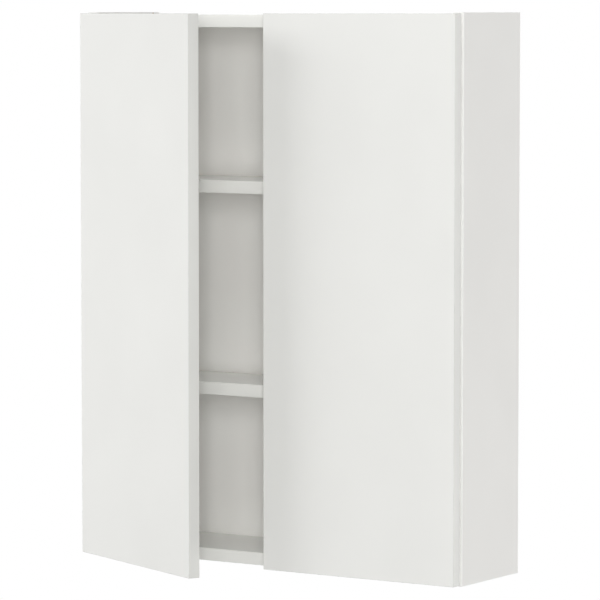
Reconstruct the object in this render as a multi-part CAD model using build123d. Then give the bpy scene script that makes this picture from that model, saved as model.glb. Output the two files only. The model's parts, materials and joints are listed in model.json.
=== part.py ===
"""Hanging wall cabinet with two full-overlay doors, two shelves and concealed hinges.

Frame: X runs to the right along the wall, Y points into the wall and Z is up.  The wall is the plane Y = 0.
The origin is the centre of the four screw holes of the two wall plates that the cabinet hangs on.
The left door rests partly open, the right door is closed.  Every part of the hinge and hanger hardware is
drawn for the left side, and the right side is its mirror image.
"""
import os

from build123d import *

# ---------------------------------------------------------------- driving dimensions, millimetres
# Carcass
width = 600.0                # outside, across both side panels
height = 750.0               # side panels, top to bottom
carcass_depth = 148.0        # wall to the front edges of the carcass
side_thickness = 16.0
board_thickness = 17.0       # top, bottom and shelves
board_inset = 3.2            # top and bottom boards stand this far inside the ends of the side panels
back_thickness = 3.0
back_recess = 14.0           # wall to the rear face of the back panel, room for the wall plates
back_groove_depth = 7.0
back_groove_play = 0.2       # on each face of the back panel
back_edge_play = 1.0         # back panel's edge to the bottom of its groove
edge_round = 0.6             # softened edges of the coated boards

# Shelves
shelf_spacing = 275.0        # centre to centre
shelf_rise = 2.0             # middle of the two shelves above the middle of the cabinet
shelf_side_gap = 0.8         # each end of a shelf
shelf_back_gap = 1.0
shelf_front_setback = 2.0
shelf_hole_pitch = 32.0      # spare holes above and below each shelf pin
shelf_hole_radius = 2.5
shelf_hole_depth = 10.0
shelf_hole_inset = 26.0      # hole rows from the front edge and from the back panel
pin_shank_radius = 2.45
pin_shank_length = 9.5
pin_pad_length = 9.0         # under the shelf
pin_pad_width = 8.0
pin_pad_height = 5.0

# Joints of the top and bottom boards to the sides
cam_radius = 7.4
cam_height = 13.2
cam_setback = 24.0           # board end to the cam's centre
cam_bore_play = 0.1
bolt_radius = 2.4
bolt_head_radius = 3.4
bolt_bore_radius = 3.9
bolt_anchor_length = 10.0    # length of the bolt in the side panel
joint_from_edge = 34.0       # cam lines from the front edge and from the wall
dowel_radius = 3.95
dowel_length = 30.0
dowel_bore_play = 0.05
dowel_in_side = 9.0

# Doors
door_thickness = 16.0
door_gap = 4.0               # carcass front edge to the door's rear face
door_reveal = 1.5            # door edge inside the outline of the carcass, and half the gap between the doors
door_round = 0.6
open_angle = 25.5            # rest position of the left door
bumper_radius = 4.0
bumper_stem_radius = 2.4
bumper_stem_length = 6.0
bumper_play = 0.3            # bumper to the carcass when the door is closed
bumper_from_edge = 22.0

# Hinges, two to a door
hinge_from_end = 98.5        # door end to the hinge's middle
cup_radius = 17.5
cup_depth = 11.0
cup_from_edge = 3.0          # door edge to the cup
cup_wall = 1.0
cup_play = 0.1
flange_thickness = 0.8
flange_margin = 1.0
ear_spacing = 45.0           # cup screws, along the door's edge
ear_offset = 9.5             # cup screws from the cup's centre, away from the edge
ear_radius = 5.5
cup_screw_radius = 1.7
cup_screw_length = 10.0
cup_screw_head = (3.4, 1.4)      # radius and height
pocket_half_height = 6.8
pocket_corner = 0.8
pocket_near = 4.9            # door edge to the pocket for the links
pocket_far = 36.5
pivot_from_edge = 7.1        # hinge pin from the door's edge
pivot_depth = 4.4            # hinge pin from the door's rear face
pivot_radius = 1.2
pivot_play = 0.05
pivot_eye_radius = 2.0
pivot_pin_end = 9.0          # half the distance between the outer ends of a hinge's two pins
link_half_height = 6.2
link_metal = 1.6             # cheeks of the link
link_web = 1.2
link_band = 3.6              # width of the link in plan
arm_metal = 1.3
arm_play = 0.2               # arm cheek to link cheek
arm_height = 13.0            # side panel's face to the arm's outer face
arm_lift = 2.4               # side panel's face to the arm's open edge
arm_front = 1.0              # carcass front edge to the tip of the arm
arm_length = 62.0
rivet_radius = 1.5
rivet_setback = 5.5          # carcass front edge to the first rivet
rivet_pitch = 7.0
plate_setback = 37.0         # carcass front edge to the line of the plate's screws
plate_screw_spacing = 32.0
plate_metal = 1.8
plate_wing_width = 13.0
plate_wing_overhang = 7.5    # plate screw to the end of the wing
plate_ridge_height = 8.0
plate_ridge_play = 0.5       # ridge to the inside of the arm
plate_ridge_front = 16.0
plate_ridge_rear = 20.0
plate_screw_radius = 2.6
plate_screw_length = 11.0
plate_screw_head = (4.6, 2.0)    # radius and height
screw_bore_play = 0.1
adjust_screw_radius = 2.0
adjust_screw_head = (3.8, 1.8)
adjust_screw_setbacks = (28.0, 50.0)   # side adjustment and fixing screw of each arm

# Wall plates, one behind each upper corner
wall_plate_width = 36.0
wall_plate_metal = 2.0
wall_plate_side_gap = 2.0    # side panel's face to the plate
wall_hole_spacing = 32.0     # the two holes of a plate, one above the other
wall_hole_radius = 3.25
wall_plate_margin = 10.0     # hole centre to the end of the plate
lip_offset = 6.0             # wall to the rear face of the raised lip
lip_rise = 6.0               # height of the slope up to the lip
lip_height = 11.0

# Hangers in the upper corners
hanger_drop = 30.4           # underside of the top board to the level where the hooks rest
hanger_width = 18.0
hanger_depth = 34.0
hanger_above = 20.0          # housing above and below the level where the hooks rest
hanger_below = 34.0
hanger_wall = 1.6
hook_metal = 4.0
hook_arm_height = 9.0
hook_tooth = 2.8
hook_tooth_drop = 8.0
hook_play = 0.6              # hook to the rear face of the lip, and to the slots that it passes
hook_adjustment = 5.0        # travel of the hook up and down in its slot
hanger_peg_radius = 4.9
hanger_peg_length = 11.0
hanger_peg_spacing = 26.0
hanger_screw_radius = 2.9
hanger_screw_head = (4.4, 2.4)    # radius and height
hanger_screw_spacing = 16.0
cover_wall = 1.2
cover_play = 0.3

# ---------------------------------------------------------------- places worked out from them
left_outer = -width / 2
left_inner = left_outer + side_thickness
carcass_front = -carcass_depth
back_front = -(back_recess + back_thickness)
lip_foot = wall_hole_spacing / 2 + wall_plate_margin
hook_level = lip_foot + lip_rise + lip_height
top_underside = hook_level + hanger_drop
top_z = top_underside + board_thickness + board_inset
base_z = top_z - height
bottom_upper = base_z + board_inset + board_thickness
middle_z = (top_z + base_z) / 2
shelf_middle = middle_z + shelf_rise
shelf_centres = {"upper": shelf_middle + shelf_spacing / 2, "lower": shelf_middle - shelf_spacing / 2}
door_height = height - 2 * door_reveal
door_width = width / 2 - 2 * door_reveal
door_rear = carcass_front - door_gap
door_front = door_rear - door_thickness
door_edge = left_outer + door_reveal
hinge_levels = (base_z + door_reveal + hinge_from_end, top_z - door_reveal - hinge_from_end)
axis_x = door_edge + pivot_from_edge
axis_y = door_rear - pivot_depth
cup_x = door_edge + cup_from_edge + cup_radius
bumper_x = door_edge + door_width - bumper_from_edge
board_levels = {"bottom": bottom_upper - board_thickness / 2, "top": top_underside + board_thickness / 2}
bumper_levels = board_levels.values()    # opposite the front edges of the bottom and top boards
hook_x = left_inner + hanger_width / 2
plate_x = left_inner + wall_plate_side_gap + wall_plate_width / 2
shelf_rows = (carcass_front + shelf_hole_inset, back_front - shelf_hole_inset)
joint_rows = (carcass_front + joint_from_edge, -joint_from_edge)
dowel_y = sum(joint_rows) / 2
arm_top = left_inner + arm_height
rivet_x = arm_top - arm_metal - link_band / 2 - arm_play


# ---------------------------------------------------------------- shapes used by several pieces
UPWARD = (Align.CENTER, Align.CENTER, Align.MIN)     # a shape that stands on its origin
DOWNWARD = (Align.CENTER, Align.CENTER, Align.MAX)   # a shape that hangs below its origin


def block(x, y, z):
    """Box between pairs of limits."""
    size = [high - low for low, high in (x, y, z)]
    return Pos(x[0], y[0], z[0]) * Box(*size, align=(Align.MIN, Align.MIN, Align.MIN))


def rod_x(start, end, y, z, radius):
    """Cylinder along X."""
    return Pos(start, y, z) * Rot(0, 90, 0) * Cylinder(radius, end - start, align=UPWARD)


def rod_y(x, start, end, z, radius):
    """Cylinder along Y."""
    return Pos(x, start, z) * Rot(-90, 0, 0) * Cylinder(radius, end - start, align=UPWARD)


def rod_z(x, y, start, end, radius):
    """Cylinder along Z."""
    return Pos(x, y, start) * Cylinder(radius, end - start, align=UPWARD)


def cross_recess(radius, depth):
    """Cross-shaped driver recess, open at Z = 0 and going down."""
    blade = Box(radius * 1.1, radius * 0.26, depth, align=DOWNWARD)
    return blade + Rot(0, 0, 90) * blade


def screw(shank_radius, shank_length, head_radius, head_height):
    """Screw standing on Z = 0 with its head up and its shank down."""
    head = Cylinder(head_radius, head_height, align=UPWARD)
    head = chamfer(head.edges().group_by(Axis.Z)[-1], head_height * 0.4)
    shank = Cylinder(shank_radius, shank_length, align=DOWNWARD)
    tip = shank.edges().group_by(Axis.Z)[0]
    recess = Pos(0, 0, head_height) * cross_recess(head_radius, head_height * 0.7)
    return head + chamfer(tip, shank_radius * 0.4) - recess


def soften(board, radius):
    """Round every edge of a plain board."""
    return fillet(board.edges(), radius)


def mirrored(shape):
    """The same piece on the other side of the cabinet."""
    return mirror(shape, about=Plane.YZ)


def group(shapes):
    """Several separate solids as one named piece."""
    return Compound([solid for shape in shapes for solid in shape.solids()])


# ---------------------------------------------------------------- carcass
def side_panel():
    """Left side panel: back groove, shelf holes and the bores of the fittings in its inner face."""
    panel = soften(block((left_outer, left_inner), (carcass_front, 0), (base_z, top_z)), edge_round)
    groove_y = (back_front - back_groove_play, -back_recess + back_groove_play)
    panel -= block((left_inner - back_groove_depth, left_inner + 1), groove_y, (base_z - 1, top_z + 1))
    bores = []
    for centre in shelf_centres.values():
        pin_z = centre - board_thickness / 2 - pin_pad_height / 2
        for step in (-1, 0, 1):
            for y in shelf_rows:
                z = pin_z + step * shelf_hole_pitch
                bores.append(inner_bore(y, z, shelf_hole_depth, shelf_hole_radius))
    for level in board_levels.values():
        for y in joint_rows:
            bores.append(screw_bore(y, level, bolt_anchor_length, bolt_radius))
        depth = dowel_in_side + dowel_bore_play
        bores.append(inner_bore(dowel_y, level, depth, dowel_radius + dowel_bore_play))
    for level in hinge_levels:
        for side in (-1, 1):
            z = level + side * plate_screw_spacing / 2
            length = plate_screw_length - plate_metal
            bores.append(screw_bore(carcass_front + plate_setback, z, length, plate_screw_radius))
    for y, z in peg_places():
        bores.append(screw_bore(y, z, hanger_peg_length, hanger_peg_radius))
    return panel - bores


def inner_bore(y, z, depth, radius):
    """Bore into the inner face of the left side panel."""
    return rod_x(left_inner - depth, left_inner + 1, y, z, radius)


def screw_bore(y, z, length, radius):
    """Bore with a little play for a screw, bolt or peg of this length and radius."""
    return inner_bore(y, z, length + screw_bore_play, radius + screw_bore_play)


def end_board(low, high, cam_face, groove_face):
    """Top or bottom board between the sides: cam pockets in one face, back groove in the other."""
    board = soften(block((left_inner, -left_inner), (carcass_front, 0), (low, high)), edge_round)
    groove_y = (back_front - back_groove_play, -back_recess + back_groove_play)
    inward = back_groove_depth if groove_face == low else -back_groove_depth
    groove_z = sorted((groove_face - inward, groove_face + inward))
    board -= block((left_inner - 1, -left_inner + 1), groove_y, groove_z)
    centre = (low + high) / 2
    cuts = []
    for y in joint_rows:
        cam_x = left_inner + cam_setback
        depth = cam_height + 2 * cam_bore_play
        start = cam_face - depth if cam_face == high else cam_face
        cuts.append(rod_z(cam_x, y, start, start + depth, cam_radius + cam_bore_play))
        cuts.append(rod_x(left_inner, cam_x, y, centre, bolt_bore_radius))
    length = dowel_length - dowel_in_side + dowel_bore_play
    cuts.append(rod_x(left_inner, left_inner + length, dowel_y, centre, dowel_radius + dowel_bore_play))
    return board - cuts - [mirrored(cut) for cut in cuts]


def back_panel():
    """Thin back panel in the grooves, with a window for each hook."""
    reach = back_groove_depth - back_edge_play
    x = (left_inner - reach, -left_inner + reach)
    z = (bottom_upper - reach, top_underside + reach)
    panel = block(x, (back_front, -back_recess), z)
    half = hook_metal / 2 + 2 * hook_play
    window = block((hook_x - half, hook_x + half), (back_front - 1, -back_recess + 1), hook_travel())
    return panel - window - mirrored(window)


def shelf(centre):
    """Loose shelf on four pins."""
    x = (left_inner + shelf_side_gap, -left_inner - shelf_side_gap)
    y = (carcass_front + shelf_front_setback, back_front - shelf_back_gap)
    z = (centre - board_thickness / 2, centre + board_thickness / 2)
    return soften(block(x, y, z), edge_round)


def shelf_pins(centre):
    """Four pins: a round shank in the side panel and a flat pad under the shelf."""
    top = centre - board_thickness / 2
    pins = []
    for y in shelf_rows:
        middle = top - pin_pad_height / 2
        shank = rod_x(left_inner - pin_shank_length, left_inner + 1, y, middle, pin_shank_radius)
        pad_y = (y - pin_pad_width / 2, y + pin_pad_width / 2)
        pad = block((left_inner, left_inner + pin_pad_length), pad_y, (top - pin_pad_height, top))
        nose = pad.edges().filter_by(Axis.Y).group_by(Axis.Z)[0].sort_by(Axis.X)[-1:]
        pad = fillet(nose, pin_pad_height * 0.8)
        pins.append(pad + shank)
    return group(pins + [mirrored(pin) for pin in pins])


def cam_locks(cam_face, inward):
    """Four cams in the pockets of a board: drums with a driver slot and a slot for the bolt's head."""
    cams = []
    centre = cam_face + inward * board_thickness / 2
    for y in joint_rows:
        x = left_inner + cam_setback
        face = cam_face + inward * cam_bore_play
        z = sorted((face, face + inward * cam_height))
        cam = rod_z(x, y, z[0], z[1], cam_radius)
        slot_end = x + cam_radius * 0.45
        cam -= rod_x(x - cam_radius - 1, slot_end, y, centre, bolt_head_radius + cam_bore_play)
        slot_z = sorted((face - inward, face + inward * 2.0))
        cam -= block((x - 4.5, x + 4.5), (y - 0.7, y + 0.7), slot_z)
        cam -= block((x - 0.7, x + 0.7), (y - 4.5, y + 4.5), slot_z)
        cams.append(cam)
    return cams + [mirrored(cam) for cam in cams]


def cam_bolts(level):
    """Bolts from the side panels to the cams, each with a waist behind its head."""
    bolts = []
    for y in joint_rows:
        head_end = left_inner + cam_setback + cam_radius * 0.35
        head_start = head_end - bolt_head_radius
        bolt = rod_x(left_inner - bolt_anchor_length, left_inner, y, level, bolt_radius)
        bolt += rod_x(left_inner, left_inner + 2, y, level, bolt_head_radius)
        bolt += rod_x(left_inner + 2, head_start, y, level, bolt_radius * 0.8)
        bolt += rod_x(head_start, head_end, y, level, bolt_head_radius)
        bolts.append(bolt)
    return bolts + [mirrored(bolt) for bolt in bolts]


def dowels(level):
    """One wooden dowel between the two bolts at each end of a board."""
    start = left_inner - dowel_in_side
    dowel = rod_x(start, start + dowel_length, dowel_y, level, dowel_radius)
    dowel = chamfer(dowel.edges().filter_by(GeomType.CIRCLE), dowel_radius * 0.2)
    return [dowel, mirrored(dowel)]


# ---------------------------------------------------------------- wall plate and hanger
def wall_plate():
    """Steel plate screwed to the wall: its upper edge steps out into a lip for the hook."""
    t = wall_plate_metal
    line = Polyline(
        (-t / 2, -lip_foot), (-t / 2, lip_foot), (-lip_offset - t / 2, lip_foot + lip_rise),
        (-lip_offset - t / 2, hook_level),
    )
    x = plate_x - wall_plate_width / 2
    plate = Pos(x, 0, 0) * extrude(Plane.YZ * trace(line, t), wall_plate_width)
    for side in (-1, 1):
        plate -= rod_y(plate_x, -t - 1, 1, side * wall_hole_spacing / 2, wall_hole_radius)
    return plate


def peg_places():
    """The housing's two pegs in the side panel, as Y and Z."""
    y = back_front - hanger_depth / 2
    z = hook_level + (hanger_above - hanger_below) / 2
    return [(y, z - hanger_peg_spacing / 2), (y, z + hanger_peg_spacing / 2)]


def hook_travel():
    """Height limits of the slots that the hook passes and moves in."""
    return (hook_level - hook_tooth_drop - hook_adjustment, hook_level + hook_arm_height + hook_adjustment)


def hanger_screw_levels():
    """Depth screw below, height screw above."""
    return (hook_level - hanger_screw_spacing, hook_level)


def hanger_housing():
    """Open box on the side panel that carries the hook, with two pegs and slots for hook and screws."""
    y = (back_front - hanger_depth, back_front)
    z = (hook_level - hanger_below, hook_level + hanger_above)
    w = hanger_wall
    box = fillet(block((left_inner, left_inner + hanger_width), y, z).edges().filter_by(Axis.X), 2.0)
    box -= block((left_inner + w, left_inner + hanger_width + 1), (y[0] + w, y[1] - w), (z[0] + w, z[1] - w))
    half = hook_metal / 2 + hook_play
    box -= block((hook_x - half, hook_x + half), (y[1] - w - 1, y[1] + 1), hook_travel())
    for level in hanger_screw_levels():
        box -= rod_y(hook_x, y[0] - 1, y[0] + w + 1, level, hanger_screw_radius + screw_bore_play)
    for peg_y, peg_z in peg_places():
        box += rod_x(left_inner - hanger_peg_length, left_inner + 1, peg_y, peg_z, hanger_peg_radius)
    return box


def hanger_hook():
    """Flat steel hook: body in the housing, arm through the back panel, tooth behind the plate's lip."""
    tooth_front = -lip_offset + hook_play
    tooth_rear = tooth_front + hook_tooth
    body_y = (back_front - hanger_depth * 0.55, back_front - hanger_wall - 1)
    outline = Polyline(
        (body_y[0], hook_level - hanger_below * 0.7), (body_y[1], hook_level - hanger_below * 0.7),
        (body_y[1], hook_level), (tooth_front, hook_level), (tooth_front, hook_level - hook_tooth_drop),
        (tooth_rear, hook_level - hook_tooth_drop), (tooth_rear, hook_level + hook_arm_height),
        (body_y[0], hook_level + hook_arm_height), close=True,
    )
    profile = make_face(outline)
    profile = fillet(profile.vertices().sort_by(Axis.X)[-1:], hook_tooth * 0.6)
    hook = extrude(Plane.YZ * profile, hook_metal / 2, both=True)
    return Pos(hook_x, 0, 0) * hook


def hanger_screws():
    """Depth and height screws of one hanger, heads to the front."""
    screws = []
    shank = hanger_depth * 0.45 - 0.5
    for level in hanger_screw_levels():
        place = Pos(hook_x, back_front - hanger_depth, level) * Rot(90, 0, 0)
        screws.append(place * screw(hanger_screw_radius, shank, *hanger_screw_head))
    return screws


def hanger_cover():
    """Plastic cap over the housing, open to the side panel and to the back panel."""
    p = cover_play
    head = hanger_screw_head[1] + p
    inner = (
        (left_inner, left_inner + hanger_width + p),
        (back_front - hanger_depth - head, back_front),
        (hook_level - hanger_below - p, hook_level + hanger_above + p),
    )
    w = cover_wall
    outer = block(
        (inner[0][0], inner[0][1] + w), (inner[1][0] - w, inner[1][1]), (inner[2][0] - w, inner[2][1] + w)
    )
    front_edges = outer.edges().filter_by(Axis.X).group_by(Axis.Y)[0]
    outer = fillet(front_edges + outer.edges().group_by(Axis.X)[-1], 1.5)
    return outer - block((inner[0][0] - 1, inner[0][1]), (inner[1][0], inner[1][1] + 1), inner[2])


# ---------------------------------------------------------------- hinge, drawn with its middle at Z = 0
def link_outline(offset):
    """Band of the link in plan, its centre line moved outward by the offset."""
    start = Vector(axis_x, axis_y)
    crown = Vector(axis_x + 8.9, axis_y - 2.8)
    shoulder = Vector(rivet_x, carcass_front - door_gap - 1.0)
    foot = Vector(rivet_x, carcass_front + rivet_setback + rivet_pitch + link_band / 2)
    arc = ThreePointArc(start, crown, shoulder)
    centre = arc.arc_center
    ring = Pos(centre.X, centre.Y) * Circle(arc.radius + offset + link_band / 2)
    ring -= Pos(centre.X, centre.Y) * Circle(arc.radius + offset - link_band / 2)
    sector = make_face(Polyline(
        centre, centre + (start - centre) * 2, centre + (start - centre + shoulder - centre) * 3,
        centre + (shoulder - centre) * 2, close=True,
    ))
    leg_x = (rivet_x + offset - link_band / 2, rivet_x + offset + link_band / 2)
    leg = Rectangle(link_band, foot.Y - shoulder.Y)
    leg = Pos((leg_x[0] + leg_x[1]) / 2, (shoulder.Y + foot.Y) / 2) * leg
    return (ring & sector) + leg


def hinge_link():
    """Curved channel from the arm round the panel's edge into the cup, with an eye for each hinge pin."""
    link = extrude(link_outline(0), link_half_height, both=True)
    link += rod_z(axis_x, axis_y, -link_half_height, link_half_height, pivot_eye_radius)
    link -= extrude(link_outline(-link_web), link_half_height - link_metal, both=True)
    inside = link_half_height - link_metal
    link -= rod_z(axis_x, axis_y, -inside, inside, pivot_eye_radius + link_band / 2)
    link -= rod_z(axis_x, axis_y, -link_half_height - 1, link_half_height + 1, pivot_radius + pivot_play)
    for y in rivet_places():
        link -= rod_z(rivet_x, y, -link_half_height - 1, link_half_height + 1, rivet_radius)
    return link


def rivet_places():
    """Y of the two rivets of an arm."""
    first = carcass_front + rivet_setback
    return (first, first + rivet_pitch)


def hinge_arm():
    """Pressed channel over the mounting plate, open to the side panel, with the link between its cheeks."""
    front = carcass_front + arm_front
    rear = front + arm_length
    low = left_inner + arm_lift
    outline = make_face(Polyline(
        (rivet_x - link_band, front), (arm_top, front), (arm_top, rear), (low, rear),
        (low, carcass_front + plate_setback * 0.5), close=True,
    ))
    outline = fillet(outline.vertices().group_by(Axis.Y)[0], 2.0)
    half = link_half_height + arm_play + arm_metal
    arm = extrude(outline, half, both=True)
    inner = half - arm_metal
    arm -= block((low - 10, arm_top - arm_metal), (front - 1, rear - arm_metal), (-inner, inner))
    for y in rivet_places():
        arm -= rod_z(rivet_x, y, -half - 1, half + 1, rivet_radius)
    for setback in adjust_screw_setbacks:
        y = carcass_front + setback
        arm -= rod_x(arm_top - arm_metal - 1, arm_top + 1, y, 0, adjust_screw_radius + screw_bore_play)
    return arm


def hinge_rivets():
    """Two rivets through the cheeks of arm and link."""
    half = link_half_height + arm_play + arm_metal
    rivets = []
    for y in rivet_places():
        rivet = rod_z(rivet_x, y, -half, half, rivet_radius)
        for side in (-1, 1):
            z = sorted((side * half, side * (half + 0.8)))
            rivet += rod_z(rivet_x, y, z[0], z[1], rivet_radius + 0.8)
        rivets.append(rivet)
    return rivets


def mounting_plate():
    """Cross-shaped plate: two screwed wings and a raised ridge inside the arm."""
    y = carcass_front + plate_setback
    reach = plate_screw_spacing / 2 + plate_wing_overhang
    wing = block(
        (left_inner, left_inner + plate_metal),
        (y - plate_wing_width / 2, y + plate_wing_width / 2), (-reach, reach),
    )
    wing = fillet(wing.edges().filter_by(Axis.X), plate_wing_width * 0.4)
    half = link_half_height + arm_play - plate_ridge_play
    ridge_y = (y - plate_ridge_front, y + plate_ridge_rear)
    ridge = block((left_inner, left_inner + plate_ridge_height), ridge_y, (-half, half))
    plate = wing + fillet(ridge.edges().group_by(Axis.X)[-1], 1.0)
    bore = plate_screw_radius + screw_bore_play
    for side in (-1, 1):
        z = side * plate_screw_spacing / 2
        plate -= rod_x(left_inner - 1, left_inner + plate_metal + 1, y, z, bore)
    bore = adjust_screw_radius + screw_bore_play
    for setback in adjust_screw_setbacks:
        y = carcass_front + setback
        plate -= rod_x(left_inner + 1, left_inner + plate_ridge_height + 1, y, 0, bore)
    return plate


def plate_screws():
    """Two screws through the wings into the side panel."""
    screws = []
    for side in (-1, 1):
        place = Pos(left_inner + plate_metal, carcass_front + plate_setback, side * plate_screw_spacing / 2)
        one = screw(plate_screw_radius, plate_screw_length, *plate_screw_head)
        screws.append(place * Rot(0, 90, 0) * one)
    return screws


def arm_screws():
    """Side adjustment and fixing screw of one arm."""
    one = Rot(0, 90, 0) * screw(adjust_screw_radius, arm_height - 3.0, *adjust_screw_head)
    return [Pos(arm_top, carcass_front + setback, 0) * one for setback in adjust_screw_setbacks]


def hinge_cup():
    """Round cup in the door with a flange, two screw ears and a pocket for the link."""
    cup = rod_y(cup_x, door_rear - cup_depth, door_rear, 0, cup_radius)
    flange_y = (door_rear, door_rear + flange_thickness)
    flange = rod_y(cup_x, *flange_y, 0, cup_radius + flange_margin)
    ear_x = cup_x + ear_offset
    for side in (-1, 1):
        flange += rod_y(ear_x, *flange_y, side * ear_spacing / 2, ear_radius)
    flange += block((ear_x - ear_radius, ear_x + ear_radius), flange_y, (-ear_spacing / 2, ear_spacing / 2))
    cup += flange
    pocket_x = (door_edge + pocket_near, door_edge + pocket_far)
    pocket_y = (door_rear - cup_depth + cup_wall, door_rear + flange_thickness + 1)
    pocket = block(pocket_x, pocket_y, (-pocket_half_height, pocket_half_height))
    cup -= fillet(pocket.edges().filter_by(Axis.Y), pocket_corner)
    cup -= rod_z(axis_x, axis_y, -pivot_pin_end, pivot_pin_end, pivot_radius)
    for side in (-1, 1):
        bore = cup_screw_radius + screw_bore_play
        cup -= rod_y(ear_x, door_rear - 1, door_rear + flange_thickness + 1, side * ear_spacing / 2, bore)
    return cup


def cup_screws():
    """Two screws through the ears into the door."""
    screws = []
    for side in (-1, 1):
        place = Pos(cup_x + ear_offset, door_rear + flange_thickness, side * ear_spacing / 2)
        screws.append(place * Rot(-90, 0, 0) * screw(cup_screw_radius, cup_screw_length, *cup_screw_head))
    return screws


def pivot_pins():
    """Two short pins, one in each wall of the pocket, that the eyes of the link turn on."""
    inside = link_half_height - link_metal
    return [
        rod_z(axis_x, axis_y, inside, pivot_pin_end, pivot_radius),
        rod_z(axis_x, axis_y, -pivot_pin_end, -inside, pivot_radius),
    ]


def at_hinges(make):
    """Copies of a hinge's pieces at both hinge levels of the left door."""
    shapes = make()
    shapes = shapes if isinstance(shapes, list) else [shapes]
    return [Pos(0, 0, level) * shape for level in hinge_levels for shape in shapes]


# ---------------------------------------------------------------- doors, drawn closed
def door():
    """Left door: plain panel with bores for cups, cup screws and bumpers in its rear face."""
    z = (base_z + door_reveal, base_z + door_reveal + door_height)
    panel = soften(block((door_edge, door_edge + door_width), (door_front, door_rear), z), door_round)
    cuts = []
    for level in hinge_levels:
        depth = door_rear - cup_depth - cup_play
        cuts.append(rod_y(cup_x, depth, door_rear + 1, level, cup_radius + cup_play))
        for side in (-1, 1):
            z = level + side * ear_spacing / 2
            end = door_rear + flange_thickness - cup_screw_length - screw_bore_play
            cuts.append(rod_y(cup_x + ear_offset, end, door_rear + 1, z, cup_screw_radius + screw_bore_play))
    for level in bumper_levels:
        end = door_rear - bumper_stem_length - screw_bore_play
        cuts.append(rod_y(bumper_x, end, door_rear + 1, level, bumper_stem_radius + screw_bore_play))
    return panel - cuts


def bumpers():
    """Two soft buffers near the door's free edge."""
    buffers = []
    for level in bumper_levels:
        head = rod_y(bumper_x, door_rear, carcass_front - bumper_play, level, bumper_radius)
        stem = rod_y(bumper_x, door_rear - bumper_stem_length, door_rear, level, bumper_stem_radius)
        buffers.append(fillet(head.edges().group_by(Axis.Y)[-1], 1.5) + stem)
    return buffers


# ---------------------------------------------------------------- all pieces by name
def carcass_pieces():
    """Everything that stays on the wall."""
    side = side_panel()
    top_high = top_underside + board_thickness
    bottom_low = bottom_upper - board_thickness
    housing, hook, cover, plate = hanger_housing(), hanger_hook(), hanger_cover(), wall_plate()
    screws = hanger_screws()
    rivets = at_hinges(hinge_rivets)
    wing_screws = at_hinges(plate_screws)
    return {
        "left_side_panel": side,
        "right_side_panel": mirrored(side),
        "top_panel": end_board(top_underside, top_high, top_high, top_underside),
        "bottom_panel": end_board(bottom_low, bottom_upper, bottom_low, bottom_upper),
        "back_panel": back_panel(),
        "upper_shelf": shelf(shelf_centres["upper"]),
        "lower_shelf": shelf(shelf_centres["lower"]),
        "upper_shelf_pins": shelf_pins(shelf_centres["upper"]),
        "lower_shelf_pins": shelf_pins(shelf_centres["lower"]),
        "cam_locks": group(cam_locks(top_high, -1) + cam_locks(bottom_low, 1)),
        "cam_bolts": group(cam_bolts(board_levels["top"]) + cam_bolts(board_levels["bottom"])),
        "dowels": group(dowels(board_levels["top"]) + dowels(board_levels["bottom"])),
        "left_wall_plate": plate,
        "right_wall_plate": mirrored(plate),
        "left_hanger_housing": housing,
        "right_hanger_housing": mirrored(housing),
        "left_hanger_hook": hook,
        "right_hanger_hook": mirrored(hook),
        "hanger_screws": group(screws + [mirrored(one) for one in screws]),
        "left_hanger_cover": cover,
        "right_hanger_cover": mirrored(cover),
        "hinge_plate_screws": group(wing_screws + [mirrored(one) for one in wing_screws]),
        "hinge_rivets": group(rivets + [mirrored(one) for one in rivets]),
    }


def hinge_pieces():
    """Hinge pieces on the carcass, left and right."""
    makers = {
        "hinge_mounting_plates": mounting_plate,
        "hinge_arms": hinge_arm,
        "hinge_links": hinge_link,
        "hinge_arm_screws": arm_screws,
    }
    pieces = {}
    for name, make in makers.items():
        left = group(at_hinges(make))
        pieces["left_" + name] = left
        pieces["right_" + name] = mirrored(left)
    return pieces


def door_pieces():
    """Both doors with all that turns with them: the left one swung open, the right one closed."""
    closed = {
        "door": door(),
        "hinge_cups": group(at_hinges(hinge_cup)),
        "hinge_cup_screws": group(at_hinges(cup_screws)),
        "hinge_pins": group(at_hinges(pivot_pins)),
        "door_bumpers": group(bumpers()),
    }
    swing = Pos(axis_x, axis_y, 0) * Rot(0, 0, -open_angle) * Pos(-axis_x, -axis_y, 0)
    pieces = {"left_" + name: swing * shape for name, shape in closed.items()}
    pieces.update({"right_" + name: mirrored(shape) for name, shape in closed.items()})
    return pieces


os.makedirs("parts", exist_ok=True)
pieces = {**carcass_pieces(), **hinge_pieces(), **door_pieces()}
for name, shape in pieces.items():
    export_step(shape, f"parts/{name}.step")

print("cabinet from Z", round(base_z, 2), "to", round(top_z, 2))
print("left hinge axis at X", round(axis_x, 2), "Y", round(axis_y, 2))
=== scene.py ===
# %% [markdown]
# # A white wall cabinet with two doors, dressed for its picture
# The cabinet is flat-pack furniture: chipboard boards coated with a thin white foil, two full-overlay doors
# on concealed hinges, a thin white back and two loose shelves.  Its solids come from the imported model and
# stay as they are.  This script adds what a drawing of boards leaves out, gives every surface its finish
# and lights it softly.  The left door stands ajar and shows the inside.

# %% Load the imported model
import json
import math

import bmesh
import bpy
from mathutils import Matrix, Vector


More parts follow.
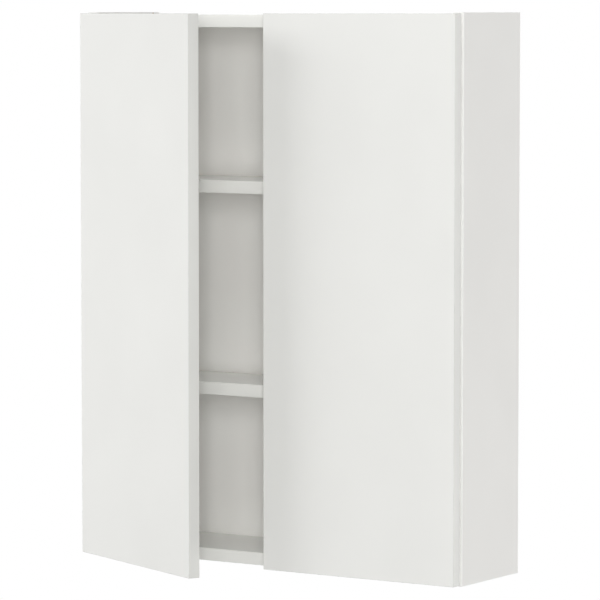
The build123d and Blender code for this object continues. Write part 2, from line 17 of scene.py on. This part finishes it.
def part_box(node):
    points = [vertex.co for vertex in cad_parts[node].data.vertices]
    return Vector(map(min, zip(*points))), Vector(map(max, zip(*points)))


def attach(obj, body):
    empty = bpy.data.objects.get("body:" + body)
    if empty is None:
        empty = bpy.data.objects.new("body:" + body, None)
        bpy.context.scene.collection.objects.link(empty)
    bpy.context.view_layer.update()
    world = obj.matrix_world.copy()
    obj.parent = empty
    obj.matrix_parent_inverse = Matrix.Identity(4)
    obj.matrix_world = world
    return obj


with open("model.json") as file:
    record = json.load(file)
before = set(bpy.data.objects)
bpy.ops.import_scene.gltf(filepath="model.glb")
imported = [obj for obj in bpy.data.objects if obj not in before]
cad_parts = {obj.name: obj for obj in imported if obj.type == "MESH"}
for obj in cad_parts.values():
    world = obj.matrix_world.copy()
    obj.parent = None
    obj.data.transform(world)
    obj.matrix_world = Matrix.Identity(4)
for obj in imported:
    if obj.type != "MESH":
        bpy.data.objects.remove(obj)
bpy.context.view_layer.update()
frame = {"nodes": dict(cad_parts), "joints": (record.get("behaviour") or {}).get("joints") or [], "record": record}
nodes = frame["nodes"]
bpy.ops.object.select_all(action="DESELECT")

# %% [markdown]
# ## The camera
# A catalogue picture of a cabinet is taken from far away with a long lens, so that its upright edges stay
# nearly parallel.  The camera stands about five metres off, to the right of the cabinet and a little above
# its middle, turned towards it and tilted slightly down.

# %% Camera
MM = 0.001              # metres in a millimetre
camera_place = Vector((2790.0, -4397.6, 95.3)) * MM
camera_turn = math.radians(32.837)      # about the upright, from looking straight at the wall
camera_tilt = math.radians(4.359)       # down from the horizontal
camera_lens = 227.45                    # millimetres, on a sensor 36 mm wide

camera_data = bpy.data.cameras.new("camera")
camera_data.lens = camera_lens
camera_data.sensor_width = 36.0
camera_data.clip_end = 100.0
camera = bpy.data.objects.new("camera", camera_data)
camera.location = camera_place
camera.rotation_euler = (math.radians(90) - camera_tilt, 0.0, camera_turn)
bpy.context.scene.collection.objects.link(camera)
bpy.context.scene.camera = camera
print("camera", round(camera_place.length, 2), "m from the cabinet")

# %% [markdown]
# ## Two helpers for materials
# Colours are written as hex values, the way a paint chart gives them, and Blender's shaders want linear
# light, so one function turns them.  A second one adds a node with its settings and its links in one call,
# which keeps each recipe short enough to read.

# %% Colour and node helpers
def linear(code):
    """Linear RGBA of a colour written as six hex digits."""
    channels = [int(code[i:i + 2], 16) / 255 for i in (0, 2, 4)]
    return tuple(c / 12.92 if c <= 0.04045 else ((c + 0.055) / 1.055) ** 2.4 for c in channels) + (1.0,)


def add(tree, kind, settings=None, **inputs):
    """Adds a node.  An input is a number, a colour or the output socket that feeds it."""
    node = tree.nodes.new(kind)
    for name, value in (settings or {}).items():
        setattr(node, name, value)
    for name, value in inputs.items():
        socket = node.inputs[name.replace("_", " ")]
        if isinstance(value, bpy.types.NodeSocket):
            tree.links.new(value, socket)
        else:
            socket.default_value = value
    return node


def finish_named(name):
    """New material with an empty shader and its tree, and Object coordinates in metres."""
    material = bpy.data.materials.new(name)
    material.use_nodes = True
    tree = material.node_tree
    shader = tree.nodes["Principled BSDF"]
    place = tree.nodes.new("ShaderNodeTexCoord").outputs["Object"]
    return material, tree, shader, place


def per_metre(size_mm):
    """Noise scale at which one grain is this many millimetres across."""
    return 1000.0 / size_mm


# %% [markdown]
# ## White foil on chipboard
# The boards are chipboard wrapped in a white melamine foil.  Its press plate leaves a fine pebble about a
# millimetre across, and the chips under it print through as a slow ripple, which only the gloss shows.
# A flat white would look like paper, so the foil gets both as bump, a satin gloss, and a trace of
# unevenness in its white.  The pebble is drawn shallow: a few hundredths of a millimetre.

# %% Foil
def pressed_surface(tree, shader, place, grain_mm, grain_depth_mm, ripple_mm, ripple_depth_mm):
    """Bump of a fine grain on a slow ripple, both given in millimetres."""
    grain = add(tree, "ShaderNodeTexNoise", Vector=place, Scale=per_metre(grain_mm), Detail=3.0)
    ripple = add(tree, "ShaderNodeTexNoise", Vector=place, Scale=per_metre(ripple_mm), Detail=1.0)
    slow = add(
        tree, "ShaderNodeBump", Strength=0.5, Distance=ripple_depth_mm * MM, Height=ripple.outputs["Fac"]
    )
    fine = add(
        tree, "ShaderNodeBump", Strength=0.5, Distance=grain_depth_mm * MM,
        Height=grain.outputs["Fac"], Normal=slow.outputs["Normal"],
    )
    tree.links.new(fine.outputs["Normal"], shader.inputs["Normal"])


def clouded(tree, place, size_mm, low, high):
    """Two colours that drift into each other in patches of this size."""
    patches = add(tree, "ShaderNodeTexNoise", Vector=place, Scale=per_metre(size_mm), Detail=2.0)
    ramp = add(tree, "ShaderNodeValToRGB", Fac=patches.outputs["Fac"])
    for stop, position, code in zip(ramp.color_ramp.elements, (0.3, 0.7), (low, high)):
        stop.position = position
        stop.color = linear(code)
    return ramp.outputs["Color"]


def white_foil(name, low, high, roughness):
    """Satin melamine foil."""
    material, tree, shader, place = finish_named(name)
    tree.links.new(clouded(tree, place, 160.0, low, high), shader.inputs["Base Color"])
    shader.inputs["Roughness"].default_value = roughness
    shader.inputs["IOR"].default_value = 1.5
    pressed_surface(
        tree, shader, place, grain_mm=1.1, grain_depth_mm=0.012, ripple_mm=45.0, ripple_depth_mm=0.05
    )
    return material


foil = white_foil("white_melamine_foil_satin", "EDEDEA", "F0F0ED", roughness=0.45)
print("made", foil.name)

# %% [markdown]
# ## The chipboard inside
# A board is white only on its faces.  Its bores, grooves and rear edges show the core: pressed chips a few
# millimetres long, in straw and brown.  The material finds the core by depth: wherever the surface lies
# more than the foil's thickness under the two faces of the board, the colour turns to chips.  The front
# edges would show chips too, if they had no band, which comes later as a piece of its own.  A real cabinet
# has one foil throughout.  Here the boards between the side panels are set a little whiter and smoother,
# which is a choice of this picture: their tops get too dark otherwise, where they are seen at a slant.

# %% Boards with a core
foil_depth = 0.15       # millimetres from a face to where the core begins


def under_faces(tree, place, axis, low_mm, high_mm):
    """One between the two faces of a board, nought on them."""
    parts = add(tree, "ShaderNodeSeparateXYZ", Vector=place)
    middle = (low_mm + high_mm) / 2 * MM
    reach = ((high_mm - low_mm) / 2 - foil_depth) * MM
    inside = add(tree, "ShaderNodeMath", {"operation": "COMPARE"})
    tree.links.new(parts.outputs[axis], inside.inputs[0])
    inside.inputs[1].default_value = middle
    inside.inputs[2].default_value = reach
    return inside.outputs[0]


def show_core(tree, shader, place, mask, low, high, grain_mm):
    """Lets the core's colour and dry roughness through where the mask is one."""
    chips = add(tree, "ShaderNodeTexVoronoi", Vector=place, Scale=per_metre(grain_mm))
    brown = add(tree, "ShaderNodeValToRGB", Fac=chips.outputs["Distance"])
    brown.color_ramp.elements[0].color = linear(low)
    brown.color_ramp.elements[1].color = linear(high)
    covered = shader.inputs["Base Color"].links[0].from_socket
    choice = add(tree, "ShaderNodeMix", {"data_type": "RGBA"}, Factor=mask)
    tree.links.new(covered, choice.inputs[6])       # 6 and 7 are A and B of a colour mix, 2 its result
    tree.links.new(brown.outputs["Color"], choice.inputs[7])
    tree.links.new(choice.outputs[2], shader.inputs["Base Color"])
    dry = add(tree, "ShaderNodeMapRange", Value=mask)
    dry.inputs["To Min"].default_value = shader.inputs["Roughness"].default_value
    dry.inputs["To Max"].default_value = 0.9
    tree.links.new(dry.outputs["Result"], shader.inputs["Roughness"])


def cored_board(node, axis, low, high, roughness):
    """Foil finish of one board, with chipboard between its faces."""
    material = white_foil("foil_on_chipboard_" + node, low, high, roughness)
    tree = material.node_tree
    place = tree.nodes["Texture Coordinate"].outputs["Object"]
    corner_low, corner_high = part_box(node)
    letter = "XYZ".index(axis)
    mask = under_faces(tree, place, axis, corner_low[letter] / MM, corner_high[letter] / MM)
    show_core(tree, tree.nodes["Principled BSDF"], place, mask, "A98453", "D9BE90", grain_mm=1.8)
    return material


board_finishes = {}
for name in ("left_side_panel", "right_side_panel"):
    board_finishes[name] = cored_board(name, "X", "EDECE9", "F0EFEC", roughness=0.45)
for name in ("top_panel", "bottom_panel", "upper_shelf", "lower_shelf"):
    board_finishes[name] = cored_board(name, "Z", "F7F7F3", "F9F9F6", roughness=0.2)
print("boards with a core", sorted(board_finishes))

# %% [markdown]
# ## Edge band
# A coated board has raw edges, which are closed with a glued plastic band.  The band is another material
# than the foil, and glossier, because the buffing wheel polishes it and leaves a thin smooth skin, given
# here by a coat.  A small difference in tone between foil and band is what outlines a white board.  A real
# cabinet has one white band.  Here there are four whites and two polishes, which is a choice of this
# picture and not of the maker: each was set so that its edges come out at the right tone under these
# lamps.  So past the band's own small step from the foil, the whites are painted light: those of the doors
# are painted shade on their edges, the darker on the door that stands open, and the whitest, on the side
# panels, is a painted highlight along their front edges.  In other light, one white does for all.

# %% Edge band
def edge_band_finish(name, low, high, polish):
    """Buffed ABS edge band.  The polish is how much of a smooth skin lies on it, from 0 to 1."""
    material, tree, shader, place = finish_named(name)
    tree.links.new(clouded(tree, place, 90.0, low, high), shader.inputs["Base Color"])
    shader.inputs["Roughness"].default_value = 0.5
    shader.inputs["IOR"].default_value = 1.53
    shader.inputs["Coat Weight"].default_value = polish
    shader.inputs["Coat Roughness"].default_value = 0.25
    shader.inputs["Coat IOR"].default_value = 1.6
    pressed_surface(
        tree, shader, place, grain_mm=0.6, grain_depth_mm=0.01, ripple_mm=30.0, ripple_depth_mm=0.03
    )
    return material


# Each white below is painted light: the doors' darker ones are painted shade on their edges, the side panels'
# whitest a painted highlight along their front edges.
band_whites_painted_light = {
    "side_panels": edge_band_finish("white_abs_band_side_panels_painted_highlight", "F8F8F5", "FAFAF7", polish=0.2),
    "boards": edge_band_finish("white_abs_band_boards", "EEEEEA", "F1F1ED", polish=0.2),
    "left_door": edge_band_finish("white_abs_band_left_door_painted_shade", "D8D8D4", "DBDBD7", polish=1.0),
    "right_door": edge_band_finish("white_abs_band_right_door_painted_shade", "E2E2DE", "E5E5E1", polish=1.0),
}
print("whites of the bands", sorted(band_whites_painted_light))

# %% [markdown]
# ## Lacquered hardboard
# The back is a 3 mm fibreboard, lacquered white on a roller.  The roller leaves a low orange peel, and the
# lacquer is matter than the foil, so that the back looks softer than the boards round it.  Only the face
# towards the shelves is lacquered: the other side and the edges stay brown, with fine dark fibres.

# %% Hardboard
hardboard, tree, shader, place = finish_named("white_lacquered_hardboard")
# Its white is set brighter than the foil and a little warm: painted light, lifting the back out of the shade
# inside the cabinet and giving it the warm cast of light bounced round the compartments.
tree.links.new(clouded(tree, place, 120.0, "F7F5F1", "F9F8F4"), shader.inputs["Base Color"])
shader.inputs["Roughness"].default_value = 0.65
shader.inputs["IOR"].default_value = 1.48
pressed_surface(
    tree, shader, place, grain_mm=2.5, grain_depth_mm=0.03, ripple_mm=60.0, ripple_depth_mm=0.08
)
back_low, back_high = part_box("back_panel")
past_the_rear = 1.0     # millimetres, so that the rear face counts as raw too
raw = under_faces(tree, place, "Y", back_low.y / MM, back_high.y / MM + past_the_rear)
show_core(tree, shader, place, raw, "80603F", "A5825A", grain_mm=0.9)
print("made", hardboard.name)

# %% [markdown]
# ## Plated steel
# Hinges are pressed from strip and nickel plated: bright, slightly yellow, with soft streaks from the
# strip's rolling.  Screws, hooks and wall plates are zinc plated: bluer, duller, and blotched where the
# passivation ran.  Both are metals, so only colour and roughness change, and the roughness follows
# the streaks or the blotches.

# %% Nickel and zinc plating
def plated(name, low, high, patch_mm, stretch, roughness):
    """Plated steel whose colour and roughness drift with the same patches."""
    material, tree, shader, place = finish_named(name)
    drawn = add(tree, "ShaderNodeMapping", Vector=place)
    drawn.inputs["Scale"].default_value = stretch
    patches = add(
        tree, "ShaderNodeTexNoise", Vector=drawn.outputs["Vector"], Scale=per_metre(patch_mm), Detail=4.0
    )
    ramp = add(tree, "ShaderNodeValToRGB", Fac=patches.outputs["Fac"])
    ramp.color_ramp.elements[0].color = linear(low)
    ramp.color_ramp.elements[1].color = linear(high)
    tree.links.new(ramp.outputs["Color"], shader.inputs["Base Color"])
    gloss = add(tree, "ShaderNodeMapRange", Value=patches.outputs["Fac"])
    gloss.inputs["To Min"].default_value = roughness[0]
    gloss.inputs["To Max"].default_value = roughness[1]
    tree.links.new(gloss.outputs["Result"], shader.inputs["Roughness"])
    shader.inputs["Metallic"].default_value = 1.0
    grain = add(
        tree, "ShaderNodeBump", Strength=0.4, Distance=0.01 * MM, Height=patches.outputs["Fac"]
    )
    tree.links.new(grain.outputs["Normal"], shader.inputs["Normal"])
    return material


nickel = plated(
    "nickel_plated_pressed_steel", "BEBBB3", "DAD7CF", patch_mm=2.0, stretch=(1.0, 0.15, 1.0),
    roughness=(0.16, 0.3),
)
zinc = plated(
    "zinc_plated_passivated_steel", "A9AEB2", "C9CDD0", patch_mm=4.0, stretch=(1.0, 1.0, 1.0),
    roughness=(0.3, 0.5),
)
print("made", nickel.name, "and", zinc.name)

# %% [markdown]
# ## Die-cast zinc
# The cams are cast under pressure and tumbled, which leaves a dull grey skin with a fine sandy grain.

# %% Die-cast zinc
cast_zinc, tree, shader, place = finish_named("tumbled_die_cast_zinc")
tree.links.new(clouded(tree, place, 3.0, "8E9092", "A6A8AA"), shader.inputs["Base Color"])
shader.inputs["Metallic"].default_value = 1.0
shader.inputs["Roughness"].default_value = 0.48
pressed_surface(
    tree, shader, place, grain_mm=0.5, grain_depth_mm=0.03, ripple_mm=4.0, ripple_depth_mm=0.05
)
print("made", cast_zinc.name)

# %% [markdown]
# ## Beech
# A dowel is turned from beech: a pale pink-brown wood with short dark flecks along the grain.  The pattern
# is stretched along X, the way the dowels lie, so the flecks run with the wood.

# %% Beech
beech, tree, shader, place = finish_named("turned_beech")
along = add(tree, "ShaderNodeMapping", Vector=place)
along.inputs["Scale"].default_value = (0.12, 1.0, 1.0)
tree.links.new(clouded(tree, along.outputs["Vector"], 1.2, "B48A5E", "CFA97B"), shader.inputs["Base Color"])
shader.inputs["Roughness"].default_value = 0.7
pressed_surface(
    tree, shader, along.outputs["Vector"], grain_mm=0.8, grain_depth_mm=0.05, ripple_mm=6.0,
    ripple_depth_mm=0.05,
)
print("made", beech.name)

# %% [markdown]
# ## Moulded plastic and the clear buffers
# Hanger housings, their caps and the small cover caps are moulded in white nylon.  A spark-eroded mould
# gives them a fine matt grain, and light goes a little way into the plastic, which softens its edges.
# The door buffers are clear polyurethane on a white board: milky, soft, and never quite smooth.

# %% Plastics
nylon, tree, shader, place = finish_named("moulded_white_nylon")
tree.links.new(clouded(tree, place, 20.0, "EDECE7", "F0EFEA"), shader.inputs["Base Color"])
shader.inputs["Roughness"].default_value = 0.5
shader.inputs["IOR"].default_value = 1.53
shader.inputs["Subsurface Weight"].default_value = 0.15
shader.inputs["Subsurface Radius"].default_value = (0.6 * MM, 0.5 * MM, 0.4 * MM)
shader.inputs["Subsurface Scale"].default_value = 1.0
pressed_surface(
    tree, shader, place, grain_mm=0.35, grain_depth_mm=0.02, ripple_mm=12.0, ripple_depth_mm=0.03
)

buffer_clear, tree, shader, place = finish_named("clear_soft_polyurethane")
shader.inputs["Base Color"].default_value = linear("F1F2EE")
shader.inputs["Transmission Weight"].default_value = 0.3
shader.inputs["IOR"].default_value = 1.5
shader.inputs["Roughness"].default_value = 0.22
pressed_surface(
    tree, shader, place, grain_mm=0.8, grain_depth_mm=0.02, ripple_mm=5.0, ripple_depth_mm=0.05
)
print("made", nylon.name, "and", buffer_clear.name)

# %% [markdown]
# ## Dressing the nodes
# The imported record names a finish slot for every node.  Each slot has its own material here, and two groups
# of nodes differ from their slot: the boards show their core in bores, and the cams are cast, not pressed.

# %% Finishes by slot
finish_of_slot = {
    "white_foil_board": foil,
    "white_hardboard": hardboard,
    "nickel_plated_steel": nickel,
    "zinc_plated_steel": zinc,
    "beech_dowel": beech,
    "white_plastic": nylon,
    "clear_buffer": buffer_clear,
}
finish_of_node = dict(board_finishes, cam_locks=cast_zinc)
for row in frame["record"]["subparts"]:
    name = row["node"]
    mesh = nodes[name].data
    mesh.materials.clear()
    mesh.materials.append(finish_of_node.get(name, finish_of_slot[row["material_slot"]]))
print("dressed", len(nodes), "nodes")

# %% [markdown]
# # Pieces that the solids leave out
# ## Edge bands
# Each board's open edges carry a glued band, four tenths of a millimetre thick, buffed round at its
# corners.  It could be painted onto the board by a mask, but a real band is a strip with a seam, so each is
# a thin shell: a box round the board, a hair larger, has its corners rounded like the board's, keeps only
# the faces that lie along the banded edges, and is then given its thickness inwards.

# %% Helper for a shell round the edges of a board
band_proud = 0.06       # millimetres that the band stands out of the board
band_thick = 0.4


def edge_band(name, low, high, sides, corner_mm, body, finish):
    """Thin band on some sides of the box from low to high, such as -Y or +Z."""
    proud = Vector((1.0, 1.0, 1.0)) * band_proud * MM
    low, high = low - proud, high + proud
    bpy.ops.mesh.primitive_cube_add(size=1.0, location=(low + high) / 2)
    piece = bpy.context.active_object
    piece.name = name
    piece.scale = high - low
    bpy.ops.object.transform_apply(location=True, rotation=False, scale=True)
    bpy.ops.object.mode_set(mode="EDIT")
    bpy.ops.mesh.select_all(action="SELECT")
    bpy.ops.mesh.bevel(offset=corner_mm * MM, offset_type="OFFSET", segments=4, affect="EDGES")
    bpy.ops.mesh.select_all(action="DESELECT")
    shell = bmesh.from_edit_mesh(piece.data)
    for face in shell.faces:
        centre = face.calc_center_median()
        far = []
        for side in sides:
            axis = "XYZ".index(side[1])
            edge = low[axis] if side[0] == "-" else high[axis]
            far.append(abs(centre[axis] - edge) > corner_mm * MM)
        face.select = all(far)
    bmesh.update_edit_mesh(piece.data)
    bpy.ops.mesh.delete(type="FACE")
    bpy.ops.object.mode_set(mode="OBJECT")
    wall = piece.modifiers.new("thickness", "SOLIDIFY")
    wall.thickness = band_thick * MM
    wall.offset = -1.0
    bpy.ops.object.modifier_apply(modifier=wall.name)
    bpy.ops.object.shade_smooth_by_angle(angle=math.radians(30))
    piece.data.materials.append(finish)
    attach(piece, body)
    piece.select_set(False)
    return piece


# %% Bands of the carcass
board_corner = 0.6      # millimetres, as the boards are softened
banded = {
    "left_side_panel": (("-Y", "-Z", "+Z"), "side_panels"),
    "right_side_panel": (("-Y", "-Z", "+Z"), "side_panels"),
    "top_panel": (("-Y",), "boards"),
    "bottom_panel": (("-Y",), "boards"),
    "upper_shelf": (("-Y",), "boards"),
    "lower_shelf": (("-Y",), "boards"),
}
for node, (sides, white) in banded.items():
    low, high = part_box(node)
    edge_band(node + "_band", low, high, sides, board_corner, "carcass", band_whites_painted_light[white])
print("carcass bands", len(banded))

# %% [markdown]
# ## Bands of the doors
# The two doors are mirror images, so both bands are made where a closed door stands.  The left door rests
# ajar, so its band is then swung about the hinge by the angle that the joint's range gives.

# %% Bands of the doors
door_corner = 0.6
hinges = {joint["child"]: joint for joint in frame["joints"]}
left_hinge = hinges["left_door"]


def swung(mesh, joint):
    """Turns a mesh from the closed door's place to where the door rests."""
    pivot = Matrix.Translation(Vector(joint["pos_m"]))
    turn = Matrix.Rotation(-math.radians(joint["range_deg"][0]), 4, Vector(joint["axis"]))
    mesh.transform(pivot @ turn @ pivot.inverted())


door_low, door_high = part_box("right_door")
all_round = ("-X", "+X", "-Z", "+Z")
edge_band(
    "right_door_band", door_low, door_high, all_round, door_corner, "right_door", band_whites_painted_light["right_door"]
)
mirror_low = Vector((-door_high.x, door_low.y, door_low.z))
mirror_high = Vector((-door_low.x, door_high.y, door_high.z))
left_band = edge_band(
    "left_door_band", mirror_low, mirror_high, all_round, door_corner, "left_door", band_whites_painted_light["left_door"]
)
swung(left_band.data, left_hinge)
print("left door rests", -left_hinge["range_deg"][0], "degrees open")

# %% [markdown]
# ## The white surround
# The surround is plain white.  For light that goes straight to the camera, or there by way of a gloss or a
# clear piece, the world is pure white, while for the light that falls on the cabinet it stays a weak fill.
# A big white backdrop would do too, but it would light the cabinet from all sides and flatten it.

# %% Rays that show the surround
def seen_directly(tree):
    """One for camera, glossy and transmission rays, nought for the light that falls on things."""
    rays = tree.nodes.new("ShaderNodeLightPath")
    seen = rays.outputs["Is Camera Ray"]
    for kind in ("Is Glossy Ray", "Is Transmission Ray"):
        either = add(tree, "ShaderNodeMath", {"operation": "MAXIMUM"})
        tree.links.new(seen, either.inputs[0])
        tree.links.new(rays.outputs[kind], either.inputs[1])
        seen = either.outputs[0]
    return seen


# %% White world
plain_white = (1.0, 1.0, 1.0, 1.0)
world_fill = 0.2        # strength of the surround as light on the cabinet
world = bpy.data.worlds.new("studio")
bpy.context.scene.world = world
world.use_nodes = True
sky = world.node_tree
strength = add(sky, "ShaderNodeMapRange", Value=seen_directly(sky))
strength.inputs["To Min"].default_value = world_fill
strength.inputs["To Max"].default_value = 1.0
background = sky.nodes["Background"]
background.inputs["Color"].default_value = plain_white
sky.links.new(strength.outputs["Result"], background.inputs["Strength"])
bpy.context.scene.view_settings.view_transform = "Standard"
print("fill", world_fill)

# %% [markdown]
# ## The floor
# The cabinet hangs on a wall, so its floor lies a metre below it, out of the picture from the front, and
# shows only from higher up.  It is pale paper that glows white for the same rays as the surround, but only
# with part of its brightness, so that the soft shadow of the cabinet still shows on it.  Towards its rim it
# turns all white, so that it has no edge against the surround, and from below it is clear, so that it never
# hides the cabinet.

# %% Floor
floor_level = -1.6      # metres
floor_radius = 3.6
bpy.ops.mesh.primitive_circle_add(
    vertices=96, radius=floor_radius, fill_type="NGON", location=(0.0, 0.0, floor_level)
)
floor = bpy.context.active_object
floor.name = "floor"
print("floor at", floor_level, "m")

# %% Paper of the floor
glow_at_middle = 0.8    # share of the floor's look that is plain white there
fade_start = 0.3 * floor_radius
fade_end = 0.97 * floor_radius
paper, tree, shader, place = finish_named("pale_paper_floor")
shader.inputs["Base Color"].default_value = linear("B0B0AE")
shader.inputs["Roughness"].default_value = 0.9
glow = add(tree, "ShaderNodeEmission", Color=plain_white, Strength=1.0)
from_middle = add(tree, "ShaderNodeVectorMath", {"operation": "LENGTH"}, Vector=place)
fade = add(
    tree, "ShaderNodeMapRange", {"interpolation_type": "SMOOTHSTEP"}, Value=from_middle.outputs["Value"]
)
fade.inputs["From Min"].default_value = fade_start
fade.inputs["From Max"].default_value = fade_end
fade.inputs["To Min"].default_value = glow_at_middle
share = add(tree, "ShaderNodeMath", {"operation": "MULTIPLY"})
tree.links.new(seen_directly(tree), share.inputs[0])
tree.links.new(fade.outputs["Result"], share.inputs[1])
glowing = add(tree, "ShaderNodeMixShader", Fac=share.outputs[0])
tree.links.new(shader.outputs[0], glowing.inputs[1])
tree.links.new(glow.outputs[0], glowing.inputs[2])
underside = tree.nodes.new("ShaderNodeNewGeometry").outputs["Backfacing"]
clear = tree.nodes.new("ShaderNodeBsdfTransparent")
surface = add(tree, "ShaderNodeMixShader", Fac=underside)
tree.links.new(glowing.outputs[0], surface.inputs[1])
tree.links.new(clear.outputs[0], surface.inputs[2])
tree.links.new(surface.outputs[0], tree.nodes["Material Output"].inputs["Surface"])
floor.data.materials.append(paper)
print("made", paper.name)

# %% [markdown]
# ## Soft studio lamps
# White furniture on white is drawn by small steps in tone, so the light is broad and comes from all round.
# Three lamps on the left key the doors, and the open one shades the near end of the other.  A row of tall
# narrow ones round the camera reaches into the open compartments.  One overhead and one above the camera
# light the tops, and one far right and one low behind on the right light the side panel, more at its foot
# than at its top.  No lamp is strong enough to bring a white face to pure white.  The gloss of foil and
# bands shows the white surround and not the lamps, whose outlines would be bright streaks on the bands.

# %% Lamps
aim = Vector((0.0, -100.0, -280.0))     # the middle of the cabinet, in millimetres


def seen_from_the_cabinet(turn, rise, distance):
    """Place of a lamp: degrees to the right of straight ahead, degrees above level, millimetres away."""
    turn, rise = math.radians(turn), math.radians(rise)
    level = distance * math.cos(rise)
    return aim + Vector((level * math.sin(turn), -level * math.cos(turn), distance * math.sin(rise)))


square = (1500, 1500)                   # width and height of a lamp's face, in millimetres
small_square = (1100, 1100)
tall = (550, 2400)
wide = (1500, 900)
strip = (2500, 600)
lamps = {
    # name: turn, rise and distance of its place, its face, and its power in watts, in steps of five
    "overhead": ((0, 86, 3300), square, 25),
    "left_key": ((-36, 20, 4500), small_square, 30),
    "left_key_side": ((-50, 20, 4500), small_square, 15),
    "left_near": ((-76, 1, 3400), square, 30),
    "left_of_the_camera": ((20, 5, 5000), tall, 15),
    "close_left_of_the_camera": ((26, 5, 5000), tall, 10),
    "behind_the_camera": ((32, 5, 5000), tall, 70),
    "right_of_the_camera": ((38, 5, 5000), tall, 35),
    "above_the_camera": ((28, 52, 5000), wide, 20),
    "right_flank": ((80, 5, 4500), square, 15),
    "rear_right_low": ((135, -18, 4000), strip, 75),
}
for name, (direction, lamp_size, power) in lamps.items():
    lamp_place = seen_from_the_cabinet(*direction)
    data = bpy.data.lights.new(name, "AREA")
    data.shape = "RECTANGLE"
    data.size, data.size_y = lamp_size[0] * MM, lamp_size[1] * MM
    data.energy = power
    lamp = bpy.data.objects.new(name, data)
    lamp.location = lamp_place * MM
    lamp.rotation_euler = (aim - lamp_place).to_track_quat("-Z", "Y").to_euler()
    lamp.visible_glossy = False         # no streaks on the polished bands
    bpy.context.scene.collection.objects.link(lamp)
print("lamps", len(lamps))
